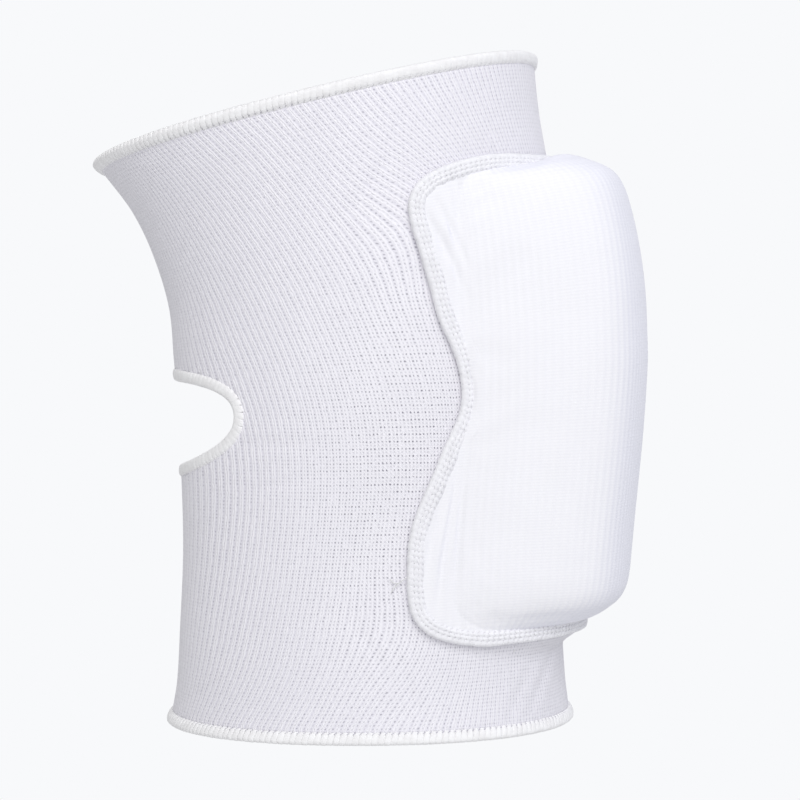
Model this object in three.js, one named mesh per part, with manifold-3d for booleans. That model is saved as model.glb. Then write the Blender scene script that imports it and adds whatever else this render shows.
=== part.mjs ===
// Volleyball knee pad: a knitted tube for a slightly bent knee, with a foam pad sewn to its front.
//
// The origin is the middle of the leg at the knee, level with the hole behind it.
// +X is the front of the knee, Y goes across the leg and +Z points up the thigh.
// All lengths are millimetres.

import * as THREE from 'three';
import { mergeVertices } from 'three/addons/utils/BufferGeometryUtils.js';
import Module from 'manifold-3d';

const wasm = await Module();
wasm.setup();

// How far the sleeve reaches above and below the knee, hems included
const FRONT_RISE = 120.6;
const BACK_RISE = 87;
const FRONT_DROP = 95;
const BACK_DROP = 97;

// The sleeve round the leg: depth is from back to front, width is across
const CALF_DEPTH = 125.6;
const CALF_WIDTH = 102;
const KNEE_DEPTH = 128.2;
const KNEE_WIDTH = 105;
const THIGH_DEPTH = 141.6;
const THIGH_WIDTH = 116;
const THIGH_SET_BACK = 18.2; // how far the thigh's opening sits behind the knee, because the knee bends
const THIGH_DIP = 0.9; // how far the upper hem dips at the leg's sides
const ROUNDNESS = 2.15; // 2 makes the sleeve's sections ellipses, and more makes them squarer
const WALL = 1.6;

// The overlocked hems round the two openings
const HEM_WIDTH = 4.2;
const HEM_THICKNESS = 2.8;
const HEM_FLARE = 16; // degrees that a hem leans out from the sleeve's wall

// The hole behind the knee and its overlocked edge
const HOLE_WIDTH = 102;
const HOLE_HEIGHT = 27.5;
const HOLE_FULLNESS = 0.88; // 1 makes the hole an ellipse, and less makes it fuller
const HOLE_RISE = 1.2; // from the origin's height up to the hole's middle
const BINDING_WIDTH = 4.4;
const BINDING_THICKNESS = 3.2;

// The pad, measured up the front of the knee and round the sleeve, its overlocked edge included
const PAD_RISE = 89.5;
const PAD_DROP = 65.5;
const WING_SPREAD = 152; // across both wings at their widest
const BLOCK_SPREAD = 124; // across the foam block, from crease to crease
const FOAM = 23.7;
const COVER = 2; // the cover's cloth, where it lies flat in the wings
const LOWER_SEAM_STAND = 7; // how far the foam lifts the middle of the lower seam off the sleeve
const EDGE_WIDTH = 4.5;
const EDGE_THICKNESS = 2.6;

// Clearances
const SEAM_GAP = 0.35; // between a hem and the cloth that it closes
const LAY_GAP = 0.6; // between the sleeve and what lies on it

// Fineness of the faceted surfaces
const AROUND = 60;
const UP = 20;
const BINDING_STEPS = 48;

const calf = { depth: CALF_DEPTH, width: CALF_WIDTH };
const knee = { depth: KNEE_DEPTH, width: KNEE_WIDTH };
const thigh = { depth: THIGH_DEPTH, width: THIGH_WIDTH };

// Sections of the sleeve. level is the share of the way from the lower hem to the upper one, depth
// and width are shares of the part of the leg that the row is like, and back is a share of
// THIGH_SET_BACK.
const SECTIONS = [
  { level: 0.0, like: calf, depth: 1.039, width: 1.03, back: 0.067 },
  { level: 0.05, like: calf, depth: 1.018, width: 1.012, back: 0.06 },
  { level: 0.15, like: calf, depth: 1.002, width: 1.0, back: 0.06 },
  { level: 0.3, like: calf, depth: 0.999, width: 1.0, back: 0.01 },
  { level: 0.45, like: knee, depth: 0.995, width: 0.985, back: -0.013 },
  { level: 0.55, like: knee, depth: 1.0, width: 1.0, back: 0.008 },
  { level: 0.65, like: knee, depth: 1.005, width: 1.01, back: 0.075 },
  { level: 0.75, like: thigh, depth: 0.903, width: 0.935, back: 0.19 },
  { level: 0.85, like: thigh, depth: 0.917, width: 0.955, back: 0.43 },
  { level: 0.93, like: thigh, depth: 0.945, width: 0.975, back: 0.7 },
  { level: 1.0, like: thigh, depth: 1.0, width: 1.0, back: 1.0 },
].map((row) => ({
  level: row.level,
  depth: row.depth * row.like.depth,
  width: row.width * row.like.width,
  back: row.back * THIGH_SET_BACK,
}));

// Rows of the pad. rise is the share of the way up the pad, wing a share of its half spread, block
// a share of the foam's half spread and foam a share of its thickness.
const PAD_ROWS = [
  { rise: 0.0, wing: 0.72, block: 0.74, foam: 0.0 },
  { rise: 0.01, wing: 0.83, block: 0.84, foam: 0.4 },
  { rise: 0.03, wing: 0.93, block: 0.93, foam: 0.66 },
  { rise: 0.06, wing: 0.98, block: 0.98, foam: 0.79 },
  { rise: 0.1, wing: 0.995, block: 1.0, foam: 0.84 },
  { rise: 0.15, wing: 1.0, block: 1.0, foam: 0.86 },
  { rise: 0.21, wing: 1.0, block: 1.0, foam: 0.88 },
  { rise: 0.27, wing: 0.975, block: 1.0, foam: 0.9 },
  { rise: 0.34, wing: 0.923, block: 1.0, foam: 0.92 },
  { rise: 0.41, wing: 0.874, block: 1.0, foam: 0.94 },
  { rise: 0.47, wing: 0.82, block: 1.0, foam: 0.96 },
  { rise: 0.52, wing: 0.803, block: 1.0, foam: 0.98 },
  { rise: 0.57, wing: 0.812, block: 1.0, foam: 1.0 },
  { rise: 0.63, wing: 0.843, block: 1.0, foam: 1.0 },
  { rise: 0.71, wing: 0.906, block: 1.0, foam: 1.0 },
  { rise: 0.78, wing: 0.934, block: 1.0, foam: 0.99 },
  { rise: 0.84, wing: 0.958, block: 1.0, foam: 0.97 },
  { rise: 0.89, wing: 0.978, block: 0.99, foam: 0.94 },
  { rise: 0.93, wing: 0.99, block: 0.97, foam: 0.9 },
  { rise: 0.96, wing: 0.985, block: 0.95, foam: 0.83 },
  { rise: 0.98, wing: 0.95, block: 0.92, foam: 0.72 },
  { rise: 0.992, wing: 0.88, block: 0.86, foam: 0.52 },
  { rise: 1.0, wing: 0.76, block: 0.78, foam: 0.0 },
];

// The foam block from its middle out to its crease. across is a share of its half spread and lift
// a share of its thickness at that height: the front is slightly bowed, then the side falls away.
const BLOCK_PROFILE = [
  { across: 0.0, lift: 1.0 },
  { across: 0.14, lift: 1.01 },
  { across: 0.27, lift: 1.05 },
  { across: 0.37, lift: 1.09 },
  { across: 0.44, lift: 1.08 },
  { across: 0.5, lift: 0.94 },
  { across: 0.6, lift: 0.64 },
  { across: 0.72, lift: 0.38 },
  { across: 0.86, lift: 0.16 },
  { across: 1.0, lift: 0.0 },
];
const WING_STEPS = 2;

// Smooth value of one column of a table, at a place along its first column
function along(table, column, place) {
  const where = Object.keys(table[0])[0];
  const last = table.length - 1;
  let i = 0;
  while (i < last - 1 && table[i + 1][where] < place) i += 1;
  const slope = (k) => {
    const low = Math.max(k - 1, 0);
    const high = Math.min(k + 1, last);
    return (table[high][column] - table[low][column]) / (table[high][where] - table[low][where]);
  };
  const span = table[i + 1][where] - table[i][where];
  const t = (place - table[i][where]) / span;
  const start = table[i][column];
  const end = table[i + 1][column];
  const rising = t * t * (3 - 2 * t);
  const leaving = t * (1 - t) * (1 - t) * span * slope(i);
  const arriving = t * t * (t - 1) * span * slope(i + 1);
  return start + (end - start) * rising + leaving + arriving;
}

// A point on the sleeve's outer face. angle is 0 at the front and grows towards +Y.
function onSleeve(angle, level) {
  const power = 2 / ROUNDNESS;
  const forward = Math.sign(Math.cos(angle)) * Math.abs(Math.cos(angle)) ** power;
  const across = Math.sign(Math.sin(angle)) * Math.abs(Math.sin(angle)) ** power;
  const front = THREE.MathUtils.lerp(HEM_WIDTH - FRONT_DROP, FRONT_RISE - HEM_WIDTH, level);
  const back = THREE.MathUtils.lerp(HEM_WIDTH - BACK_DROP, BACK_RISE - HEM_WIDTH, level);
  return new THREE.Vector3(
    (along(SECTIONS, 'depth', level) / 2) * forward - along(SECTIONS, 'back', level),
    (along(SECTIONS, 'width', level) / 2) * across,
    (front + back) / 2 + ((front - back) / 2) * forward - THIGH_DIP * level ** 3 * across ** 2
  );
}

// The sleeve's outward normal and its direction up the leg
function sleeveFrame(angle, level) {
  const step = 0.004;
  const place = THREE.MathUtils.clamp(level, step, 1 - step);
  const up = onSleeve(angle, place + step).sub(onSleeve(angle, place - step)).normalize();
  const round = onSleeve(angle + step, level).sub(onSleeve(angle - step, level)).normalize();
  return { up, out: round.cross(up).normalize() };
}

// A point at a distance outside the sleeve's outer face, or inside it where lift is negative
function offSleeve(angle, level, lift) {
  return onSleeve(angle, level).addScaledVector(sleeveFrame(angle, level).out, lift);
}

// The angle that a distance round the sleeve comes to, from its front (start 0) or back (start PI)
function angleAt(level, distance, start) {
  const steps = 60;
  const step = (distance < 0 ? -1 : 1) * (Math.PI / steps);
  let angle = start;
  let left = Math.abs(distance);
  let here = onSleeve(angle, level);
  for (let i = 0; i < steps; i += 1) {
    const next = onSleeve(angle + step, level);
    const run = here.distanceTo(next);
    if (run >= left) return angle + (step * left) / run;
    left -= run;
    angle += step;
    here = next;
  }
  return angle;
}

// Height up the front of the knee as a share of the way up the sleeve
function levelOf(height) {
  return (height + FRONT_DROP - HEM_WIDTH) / (FRONT_RISE + FRONT_DROP - 2 * HEM_WIDTH);
}

// A closed mesh from its points and the corners of its faces
function solidGeometry(points, corners) {
  const geometry = new THREE.BufferGeometry();
  const places = points.flatMap((point) => [point.x, point.y, point.z]);
  geometry.setAttribute('position', new THREE.Float32BufferAttribute(places, 3));
  geometry.setIndex(corners);
  return geometry;
}

// Two triangles between neighbouring points of two loops
function wallCorners(loops, size, closed) {
  const corners = [];
  const spans = closed ? loops : loops - 1;
  for (let i = 0; i < spans; i += 1) {
    for (let j = 0; j < size; j += 1) {
      const a = i * size + j;
      const b = i * size + ((j + 1) % size);
      const c = ((i + 1) % loops) * size + ((j + 1) % size);
      const d = ((i + 1) % loops) * size + j;
      corners.push(a, b, c, a, c, d);
    }
  }
  return corners;
}

// A ring: closed sections in order round a closed path
function ringGeometry(sections) {
  return solidGeometry(sections.flat(), wallCorners(sections.length, sections[0].length, true));
}

// A flattened roll: each row is a loop whose second half mirrors its first, and the ends are capped
function rollGeometry(rows) {
  const size = rows[0].length;
  const half = size / 2;
  const corners = wallCorners(rows.length, size, false);
  const top = (rows.length - 1) * size;
  for (let j = 0; j < half - 1; j += 1) {
    const across = size - 1 - j;
    corners.push(j, across, across - 1, j, across - 1, j + 1);
    corners.push(top + j, top + across - 1, top + across, top + j, top + j + 1, top + across - 1);
  }
  return solidGeometry(rows.flat(), corners);
}

// A band's section, a rectangle with rounded corners. The band itself runs towards flat x through.
function bandSection(middle, flat, through, width, thickness) {
  const corner = thickness * 0.36;
  const shape = [
    [0.5 * width, 0.5 * thickness - corner],
    [0.5 * width - corner, 0.5 * thickness],
    [corner - 0.5 * width, 0.5 * thickness],
    [-0.5 * width, 0.5 * thickness - corner],
  ];
  const outline = [...shape, ...shape.map(([w, t]) => [-w, -t])];
  return outline.map(([w, t]) =>
    middle.clone().addScaledVector(flat, w).addScaledVector(through, t)
  );
}

function sleeveGeometry() {
  const sections = [];
  for (let i = 0; i < AROUND; i += 1) {
    const angle = (i / AROUND) * 2 * Math.PI;
    const outer = [];
    const inner = [];
    for (let j = 0; j <= UP; j += 1) {
      outer.unshift(onSleeve(angle, j / UP));
      inner.push(offSleeve(angle, j / UP, -WALL));
    }
    sections.push([...outer, ...inner]);
  }
  return ringGeometry(sections);
}

// Height up the back of the knee as a share of the way up the sleeve
function backLevelOf(height) {
  return (height + BACK_DROP - HEM_WIDTH) / (BACK_RISE + BACK_DROP - 2 * HEM_WIDTH);
}

// Flat points moved off the closed line that they make, to the right of its direction
function movedOff(places, offset) {
  return places.map((place, i) => {
    const before = places[(i + places.length - 1) % places.length];
    const after = places[(i + 1) % places.length];
    const ahead = after.clone().sub(before).normalize();
    return new THREE.Vector2(place.x + ahead.y * offset, place.y - ahead.x * offset);
  });
}

// Where the hole's edge runs on the sleeve, grown by a margin, from the +Y end of the oval upwards
function holePlaces(margin) {
  const oval = [];
  for (let i = 0; i < BINDING_STEPS; i += 1) {
    const turn = (i / BINDING_STEPS) * 2 * Math.PI;
    const rise = Math.sign(Math.sin(turn)) * Math.abs(Math.sin(turn)) ** HOLE_FULLNESS;
    oval.push(new THREE.Vector2((HOLE_WIDTH / 2) * Math.cos(turn), (HOLE_HEIGHT / 2) * rise));
  }
  return movedOff(oval, margin).map(({ x, y }) => {
    const level = backLevelOf(HOLE_RISE + y);
    return { angle: angleAt(level, -x, Math.PI), level };
  });
}

// A plug that cuts the hole through the wall, larger than the hole by the width of its binding
function holePlugGeometry() {
  const reach = HOLE_WIDTH / 5; // far enough for its flat ends to clear the curved wall
  const lifts = [reach, WALL, -2 * WALL, -reach];
  const places = holePlaces(BINDING_WIDTH + SEAM_GAP);
  const loops = lifts.map((lift) => places.map(({ angle, level }) => offSleeve(angle, level, lift)));
  const middle = backLevelOf(HOLE_RISE);
  const ends = [offSleeve(Math.PI, middle, reach), offSleeve(Math.PI, middle, -reach)];
  const corners = wallCorners(lifts.length, BINDING_STEPS, false);
  const last = (lifts.length - 1) * BINDING_STEPS;
  const outerEnd = lifts.length * BINDING_STEPS;
  for (let i = 0; i < BINDING_STEPS; i += 1) {
    const next = (i + 1) % BINDING_STEPS;
    corners.push(outerEnd, next, i, outerEnd + 1, last + i, last + next);
  }
  return solidGeometry([...loops.flat(), ...ends], corners);
}

function hemGeometry(level, side) {
  const lean = THREE.MathUtils.degToRad(HEM_FLARE);
  const sections = [];
  for (let i = 0; i < AROUND; i += 1) {
    const angle = (i / AROUND) * 2 * Math.PI;
    const { up, out } = sleeveFrame(angle, level);
    const away = up.clone().multiplyScalar(side * Math.cos(lean)).addScaledVector(out, Math.sin(lean));
    const through = out.clone().multiplyScalar(Math.cos(lean)).addScaledVector(up, -side * Math.sin(lean));
    const middle = offSleeve(angle, level, -WALL / 2);
    middle.addScaledVector(away, SEAM_GAP + HEM_WIDTH / 2 + HEM_THICKNESS / 2 * Math.sin(lean));
    sections.push(bandSection(middle, away.multiplyScalar(side), through, HEM_WIDTH, HEM_THICKNESS));
  }
  return ringGeometry(sections);
}

function holeBindingGeometry() {
  const insides = holePlaces(0);
  const outsides = holePlaces(BINDING_WIDTH);
  const sections = insides.map((inside, i) => {
    const outside = outsides[i];
    const near = offSleeve(inside.angle, inside.level, -WALL / 2);
    const far = offSleeve(outside.angle, outside.level, -WALL / 2);
    const { out } = sleeveFrame(outside.angle, outside.level);
    const middle = near.clone().add(far).multiplyScalar(0.5);
    const width = near.distanceTo(far);
    return bandSection(middle, far.sub(near).normalize(), out, width, BINDING_THICKNESS);
  });
  return ringGeometry(sections);
}

// A place on the pad: rise up the pad, and across from 0 in the middle through 1 at the foam's
// crease to 2 at the wing's border
function padPlace(rise, across) {
  const low = EDGE_WIDTH + SEAM_GAP - PAD_DROP;
  const high = PAD_RISE - EDGE_WIDTH - SEAM_GAP;
  const wing = along(PAD_ROWS, 'wing', rise) * (WING_SPREAD / 2 - EDGE_WIDTH - SEAM_GAP);
  const crease = Math.min((along(PAD_ROWS, 'block', rise) * BLOCK_SPREAD) / 2, wing - 2);
  const size = Math.abs(across);
  const distance = size <= 1 ? size * crease : crease + (size - 1) * (wing - crease);
  return {
    height: THREE.MathUtils.lerp(low, high, rise),
    distance: Math.sign(across) * distance,
  };
}

// How far the seam stands off the sleeve: only in the middle of the lower edge
function seamStand(distance, height) {
  const side = Math.min(Math.abs(distance) / (BLOCK_SPREAD / 2), 1);
  const rise = THREE.MathUtils.clamp((height + PAD_DROP) / (PAD_DROP / 3), 0, 1);
  return LOWER_SEAM_STAND * (1 - side * side) ** 2 * (1 - rise) ** 2;
}

function onPad(rise, across, lift) {
  const { height, distance } = padPlace(rise, across);
  const level = levelOf(height);
  return offSleeve(angleAt(level, distance, 0), level, lift);
}

function padThickness(rise, across) {
  const { height, distance } = padPlace(rise, across);
  const side = Math.min(Math.abs(across), 1);
  const foam = FOAM * along(PAD_ROWS, 'foam', rise) * along(BLOCK_PROFILE, 'lift', side);
  return COVER + Math.max(foam, seamStand(distance, height));
}

// Places across the pad, from the wing's border at -2 to the other at 2
function padColumns() {
  const half = BLOCK_PROFILE.map((row) => row.across);
  for (let i = 1; i <= WING_STEPS; i += 1) half.push(1 + i / WING_STEPS);
  return [...half.slice(1).reverse().map((across) => -across), ...half];
}

function padGeometry() {
  const columns = padColumns();
  const rows = PAD_ROWS.map(({ rise }) => {
    const front = columns.map((across) => onPad(rise, across, LAY_GAP + padThickness(rise, across)));
    const back = columns.map((across) => onPad(rise, across, LAY_GAP));
    return [...front, ...back.reverse()];
  });
  return rollGeometry(rows);
}

// The pad's border in its flat pattern, where x is the distance round the sleeve and y the height
function padBorder() {
  const flat = (rise, across) => {
    const { height, distance } = padPlace(rise, across);
    return new THREE.Vector2(distance, height);
  };
  const columns = padColumns();
  const rises = PAD_ROWS.map((row) => row.rise);
  return [
    ...columns.slice(0, -1).map((across) => flat(0, across)),
    ...rises.slice(0, -1).map((rise) => flat(rise, 2)),
    ...columns.slice(1).reverse().map((across) => flat(1, across)),
    ...rises.slice(1).reverse().map((rise) => flat(rise, -2)),
  ];
}

function padEdgeGeometry() {
  const lift = LAY_GAP + EDGE_THICKNESS / 2;
  const places = movedOff(padBorder(), SEAM_GAP + EDGE_WIDTH / 2);
  const path = places.map(({ x, y }) => {
    const level = levelOf(y);
    const angle = angleAt(level, x, 0);
    const point = offSleeve(angle, level, lift + seamStand(x, y));
    return { point, out: sleeveFrame(angle, level).out };
  });
  const sections = path.map(({ point, out }, i) => {
    const before = path[(i + path.length - 1) % path.length].point;
    const after = path[(i + 1) % path.length].point;
    const inward = out.clone().cross(after.clone().sub(before)).normalize();
    return bandSection(point, inward, out, EDGE_WIDTH, EDGE_THICKNESS);
  });
  return ringGeometry(sections);
}

// A geometry as a solid that can be cut
function toSolid(geometry) {
  const merged = mergeVertices(geometry);
  return new wasm.Manifold(
    new wasm.Mesh({
      numProp: 3,
      vertProperties: new Float32Array(merged.attributes.position.array),
      triVerts: new Uint32Array(merged.index.array),
    })
  );
}

function fromSolid(solid) {
  const mesh = solid.getMesh();
  const geometry = new THREE.BufferGeometry();
  geometry.setAttribute('position', new THREE.BufferAttribute(mesh.vertProperties, 3));
  geometry.setIndex(new THREE.BufferAttribute(mesh.triVerts, 1));
  return geometry;
}

function piece(name, geometry, color, roughness) {
  const material = new THREE.MeshStandardMaterial({ color, roughness, metalness: 0 });
  const mesh = new THREE.Mesh(geometry, material);
  mesh.name = name;
  return mesh;
}

const kneePad = new THREE.Group();
const sleeve = fromSolid(toSolid(sleeveGeometry()).subtract(toSolid(holePlugGeometry())));
kneePad.add(piece('sleeve', sleeve, 0xdedce4, 0.9));
kneePad.add(piece('top_hem', hemGeometry(1, 1), 0xebeaef, 0.85));
kneePad.add(piece('bottom_hem', hemGeometry(0, -1), 0xebeaef, 0.85));
kneePad.add(piece('hole_binding', holeBindingGeometry(), 0xebeaef, 0.85));
kneePad.add(piece('pad', padGeometry(), 0xf6f5fa, 0.88));
kneePad.add(piece('pad_edge', padEdgeGeometry(), 0xefeef3, 0.85));

export default kneePad;
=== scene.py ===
# %% [markdown]
# # A knitted knee pad for volleyball
# The pad is a tube of elastic knit round a slightly bent knee, with a foam block in a ribbed cover
# sewn to its front. Its edges are all overlocked, and an oval is cut out behind the knee.
# The CAD solids come in as a frame, and every fine piece here is made in that same frame,
# in metres: +X is the front of the knee, Y goes across and +Z up the thigh.

# %% Load the frame
import math

import bmesh
import bpy
import numpy as np
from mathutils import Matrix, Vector


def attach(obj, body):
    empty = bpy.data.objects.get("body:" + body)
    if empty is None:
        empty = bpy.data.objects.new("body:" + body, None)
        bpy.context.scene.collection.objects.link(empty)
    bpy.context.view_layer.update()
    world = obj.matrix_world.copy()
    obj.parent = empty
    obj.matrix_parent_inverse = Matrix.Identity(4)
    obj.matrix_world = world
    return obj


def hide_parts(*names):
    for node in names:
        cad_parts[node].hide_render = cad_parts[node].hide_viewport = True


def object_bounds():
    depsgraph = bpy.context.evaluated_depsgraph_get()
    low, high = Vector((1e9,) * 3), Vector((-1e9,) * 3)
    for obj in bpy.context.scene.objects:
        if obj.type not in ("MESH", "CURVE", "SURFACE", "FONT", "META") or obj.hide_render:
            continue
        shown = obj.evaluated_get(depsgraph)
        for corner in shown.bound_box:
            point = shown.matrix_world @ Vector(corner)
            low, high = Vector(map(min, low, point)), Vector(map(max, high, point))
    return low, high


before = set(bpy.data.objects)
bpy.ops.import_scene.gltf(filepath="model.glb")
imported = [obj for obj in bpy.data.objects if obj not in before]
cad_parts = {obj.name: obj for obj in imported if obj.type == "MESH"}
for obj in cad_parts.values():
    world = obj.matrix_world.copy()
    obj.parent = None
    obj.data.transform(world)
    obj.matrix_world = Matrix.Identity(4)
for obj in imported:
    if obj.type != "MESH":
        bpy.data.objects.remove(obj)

cad_box = [list(corner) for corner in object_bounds()]
print("CAD box", cad_box)

# %% [markdown]
# ## Camera
# The product was photographed from its side with a long lens, almost level. The camera's place is
# worked out from the angle that the hems show and from how far the sleeve's near side is magnified.
# A small lens shift puts the object where it sits in the picture.

# %% Camera
PICTURE = 800  # pixels across and down
AZIMUTH = math.radians(5)
ELEVATION = math.radians(1.4)
DISTANCE = 0.69
PIXEL = 0.00033  # metres in a pixel at the middle of the leg
AIM = Vector((0, 0, 0.0066))
SHIFT_RIGHT, SHIFT_UP = 26, 6  # pixels

looking = Vector((
    -math.sin(AZIMUTH) * math.cos(ELEVATION),
    math.cos(AZIMUTH) * math.cos(ELEVATION),
    -math.sin(ELEVATION),
))
lens = bpy.data.cameras.new("camera")
lens.sensor_width = 36
lens.lens = lens.sensor_width * DISTANCE / (PICTURE * PIXEL)
lens.shift_x = SHIFT_RIGHT / PICTURE
lens.shift_y = SHIFT_UP / PICTURE
lens.clip_start = 0.01
camera = bpy.data.objects.new("camera", lens)
bpy.context.scene.collection.objects.link(camera)
camera.location = AIM - looking * DISTANCE
camera.rotation_euler = looking.to_track_quat("-Z", "Y").to_euler()
bpy.context.scene.camera = camera
print("lens", round(lens.lens, 1), "mm")

# %% [markdown]
# ## Light and floor
# White cloth on a white ground needs light from all round, with one broad lamp a little to the
# front so that the foam still looks full. The floor is pale and evenly lit, as on a light table.
# The surroundings look brighter to the camera than they light the cloth, so the weave keeps its
# small shadows. They are darker to both sides, which turns the round leg, and cooler in front.

# %% Light and floor
GROUND_COLOR = (0.939, 0.947, 0.965, 1)
COOL_COLOR = (0.88, 0.91, 1.02, 1)
SURROUND_LIGHT = 0.74
SIDE_SHADE, SIDE_LEAN = 0.48, 0.19  # the surroundings darken to both sides, more behind the knee
FLOOR_DROP = 0.12  # the floor lies this far below the lower hem
FLOOR_SIZE = 12


def fill(tree, sockets, values):
    """Gives sockets their values: one that is a socket itself is linked, and None is left out."""
    for socket, value in zip(sockets, values):
        if isinstance(value, bpy.types.NodeSocket):
            tree.links.new(value, socket)
        elif value is not None:
            socket.default_value = value


def put(tree, kind, values=(), **settings):
    """Adds a node with its settings, and fills its sockets in order."""
    made = tree.nodes.new(kind)
    for name, value in settings.items():
        setattr(made, name, value)
    fill(tree, made.inputs, values)
    return made


def calc(tree, operation, *values):
    """A Math node's result."""
    return put(tree, "ShaderNodeMath", values, operation=operation).outputs[0]


def mix(tree, share, first, second):
    """One colour turning into another."""
    made = put(tree, "ShaderNodeMix", data_type="RGBA")
    fill(tree, (made.inputs[0], made.inputs[6], made.inputs[7]), (share, first, second))
    return made.outputs[2]


def even_light(tree, kind, lighting=GROUND_COLOR, dimming=1.0):
    """A glow that the camera sees at full strength and the cloth sees dimmed."""
    seen = put(tree, "ShaderNodeLightPath").outputs["Is Camera Ray"]
    dimmed = calc(tree, "MULTIPLY", dimming, SURROUND_LIGHT)
    strength = put(tree, "ShaderNodeMapRange", (seen, 0.0, 1.0, dimmed, 1.0)).outputs[0]
    color = mix(tree, seen, lighting, GROUND_COLOR)
    return put(tree, kind, (color, strength)).outputs[0]


world = bpy.data.worlds.new("studio")
world.use_nodes = True
sky = world.node_tree
sky.nodes.clear()
direction = put(sky, "ShaderNodeTexCoord").outputs["Generated"]
forward = put(sky, "ShaderNodeSeparateXYZ", (direction,)).outputs[0]
slope = calc(sky, "MULTIPLY_ADD", forward, -SIDE_SHADE, SIDE_LEAN)
dimming = calc(sky, "MULTIPLY_ADD", slope, forward, 1.0)
lighting = mix(sky, forward, GROUND_COLOR, COOL_COLOR)
put(sky, "ShaderNodeOutputWorld", (even_light(sky, "ShaderNodeBackground", lighting, dimming),))
bpy.context.scene.world = world
bpy.context.scene.view_settings.view_transform = "Standard"


def lamp(name, place, size, power, color):
    """A square area lamp that faces the knee."""
    data = bpy.data.lights.new(name, "AREA")
    data.shape = "SQUARE"
    data.size = size
    data.energy = power
    data.color = color
    made = bpy.data.objects.new(name, data)
    made.location = place
    made.rotation_euler = (AIM - Vector(place)).to_track_quat("-Z", "Y").to_euler()
    bpy.context.scene.collection.objects.link(made)


lamp("key_lamp", (0.3, -1.25, 0.9), 1.0, 11.6, (1, 0.995, 0.99))

floor_mesh = bpy.data.meshes.new("studio_floor")
reach = FLOOR_SIZE / 2
ground = cad_box[0][2] - FLOOR_DROP
floor_mesh.from_pydata(
    [(-reach, -reach, ground), (reach, -reach, ground), (reach, reach, ground), (-reach, reach, ground)],
    [],
    [(0, 1, 2, 3)],
)
floor = bpy.data.objects.new("studio_floor", floor_mesh)
bpy.context.scene.collection.objects.link(floor)
floor_paint = bpy.data.materials.new("pale_floor")
floor_paint.use_nodes = True
floor_paint.node_tree.nodes.clear()
put(
    floor_paint.node_tree,
    "ShaderNodeOutputMaterial",
    (even_light(floor_paint.node_tree, "ShaderNodeEmission"),),
)
floor_mesh.materials.append(floor_paint)

# %% [markdown]
# ## The leg's surface
# Everything here lies on one surface: the sleeve as a leg fills it. Its sections are ovals that
# change from calf to thigh, and each has its front higher than its back, because the knee bends.
# A short table gives the sections as shares of the driving sizes, and a smooth curve runs through
# the rows. All the other pieces are then placed by how far round and how far up they are.

# %% Sizes of the sleeve
MM = 0.001
FRONT_RISE, BACK_RISE = 120.6 * MM, 87 * MM
FRONT_DROP, BACK_DROP = 95 * MM, 97 * MM
CALF_DEPTH, CALF_WIDTH = 125.6 * MM, 102 * MM
KNEE_DEPTH, KNEE_WIDTH = 128.2 * MM, 105 * MM
THIGH_DEPTH, THIGH_WIDTH = 141.6 * MM, 116 * MM
THIGH_SET_BACK = 18.2 * MM
THIGH_DIP = 0.9 * MM
ROUNDNESS = 2.15
WALL = 1.6 * MM
HEM_WIDTH = 4.2 * MM
SEAM_GAP = 0.35 * MM
LAY_GAP = 0.6 * MM

CALF = (CALF_DEPTH, CALF_WIDTH)
KNEE = (KNEE_DEPTH, KNEE_WIDTH)
THIGH = (THIGH_DEPTH, THIGH_WIDTH)


def columns(names, rows):
    """A table as one array for each named column."""
    return dict(zip(names, np.array(rows, dtype=float).T))


SECTIONS = columns(
    ("level", "depth", "width", "back"),
    [
        (level, depth * like[0], width * like[1], back * THIGH_SET_BACK)
        for level, like, depth, width, back in (
            (0.0, CALF, 1.039, 1.03, 0.067),
            (0.05, CALF, 1.018, 1.012, 0.06),
            (0.15, CALF, 1.002, 1.0, 0.06),
            (0.3, CALF, 0.999, 1.0, 0.01),
            (0.45, KNEE, 0.995, 0.985, -0.013),
            (0.55, KNEE, 1.0, 1.0, 0.008),
            (0.65, KNEE, 1.005, 1.01, 0.075),
            (0.75, THIGH, 0.903, 0.935, 0.19),
            (0.85, THIGH, 0.917, 0.955, 0.43),
            (0.93, THIGH, 0.945, 0.975, 0.7),
            (1.0, THIGH, 1.0, 1.0, 1.0),
        )
    ],
)


def along(table, column, place):
    """Smooth value of a column at places along the table's first column."""
    where = next(iter(table.values()))
    value = table[column]
    slope = np.gradient(value)
    slope[1:-1] = (value[2:] - value[:-2]) / (where[2:] - where[:-2])
    slope[0] = (value[1] - value[0]) / (where[1] - where[0])
    slope[-1] = (value[-1] - value[-2]) / (where[-1] - where[-2])
    i = np.searchsorted(where[1:-1], place)
    span = where[i + 1] - where[i]
    t = (place - where[i]) / span
    rising = t * t * (3 - 2 * t)
    leaving = t * (1 - t) ** 2 * span * slope[i]
    arriving = t * t * (t - 1) * span * slope[i + 1]
    return value[i] + (value[i + 1] - value[i]) * rising + leaving + arriving


def on_sleeve(angle, level):
    """Points of the sleeve's outer face. The angle is 0 at the front and grows towards +Y."""
    power = 2 / ROUNDNESS
    forward = np.sign(np.cos(angle)) * np.abs(np.cos(angle)) ** power
    across = np.sign(np.sin(angle)) * np.abs(np.sin(angle)) ** power
    front = (HEM_WIDTH - FRONT_DROP) * (1 - level) + (FRONT_RISE - HEM_WIDTH) * level
    back = (HEM_WIDTH - BACK_DROP) * (1 - level) + (BACK_RISE - HEM_WIDTH) * level
    x = along(SECTIONS, "depth", level) / 2 * forward - along(SECTIONS, "back", level)
    y = along(SECTIONS, "width", level) / 2 * across
    z = (front + back) / 2 + (front - back) / 2 * forward - THIGH_DIP * level**3 * across**2
    return np.stack(np.broadcast_arrays(x, y, z), axis=-1)


def unit(vectors):
    return vectors / np.linalg.norm(vectors, axis=-1, keepdims=True)


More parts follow.
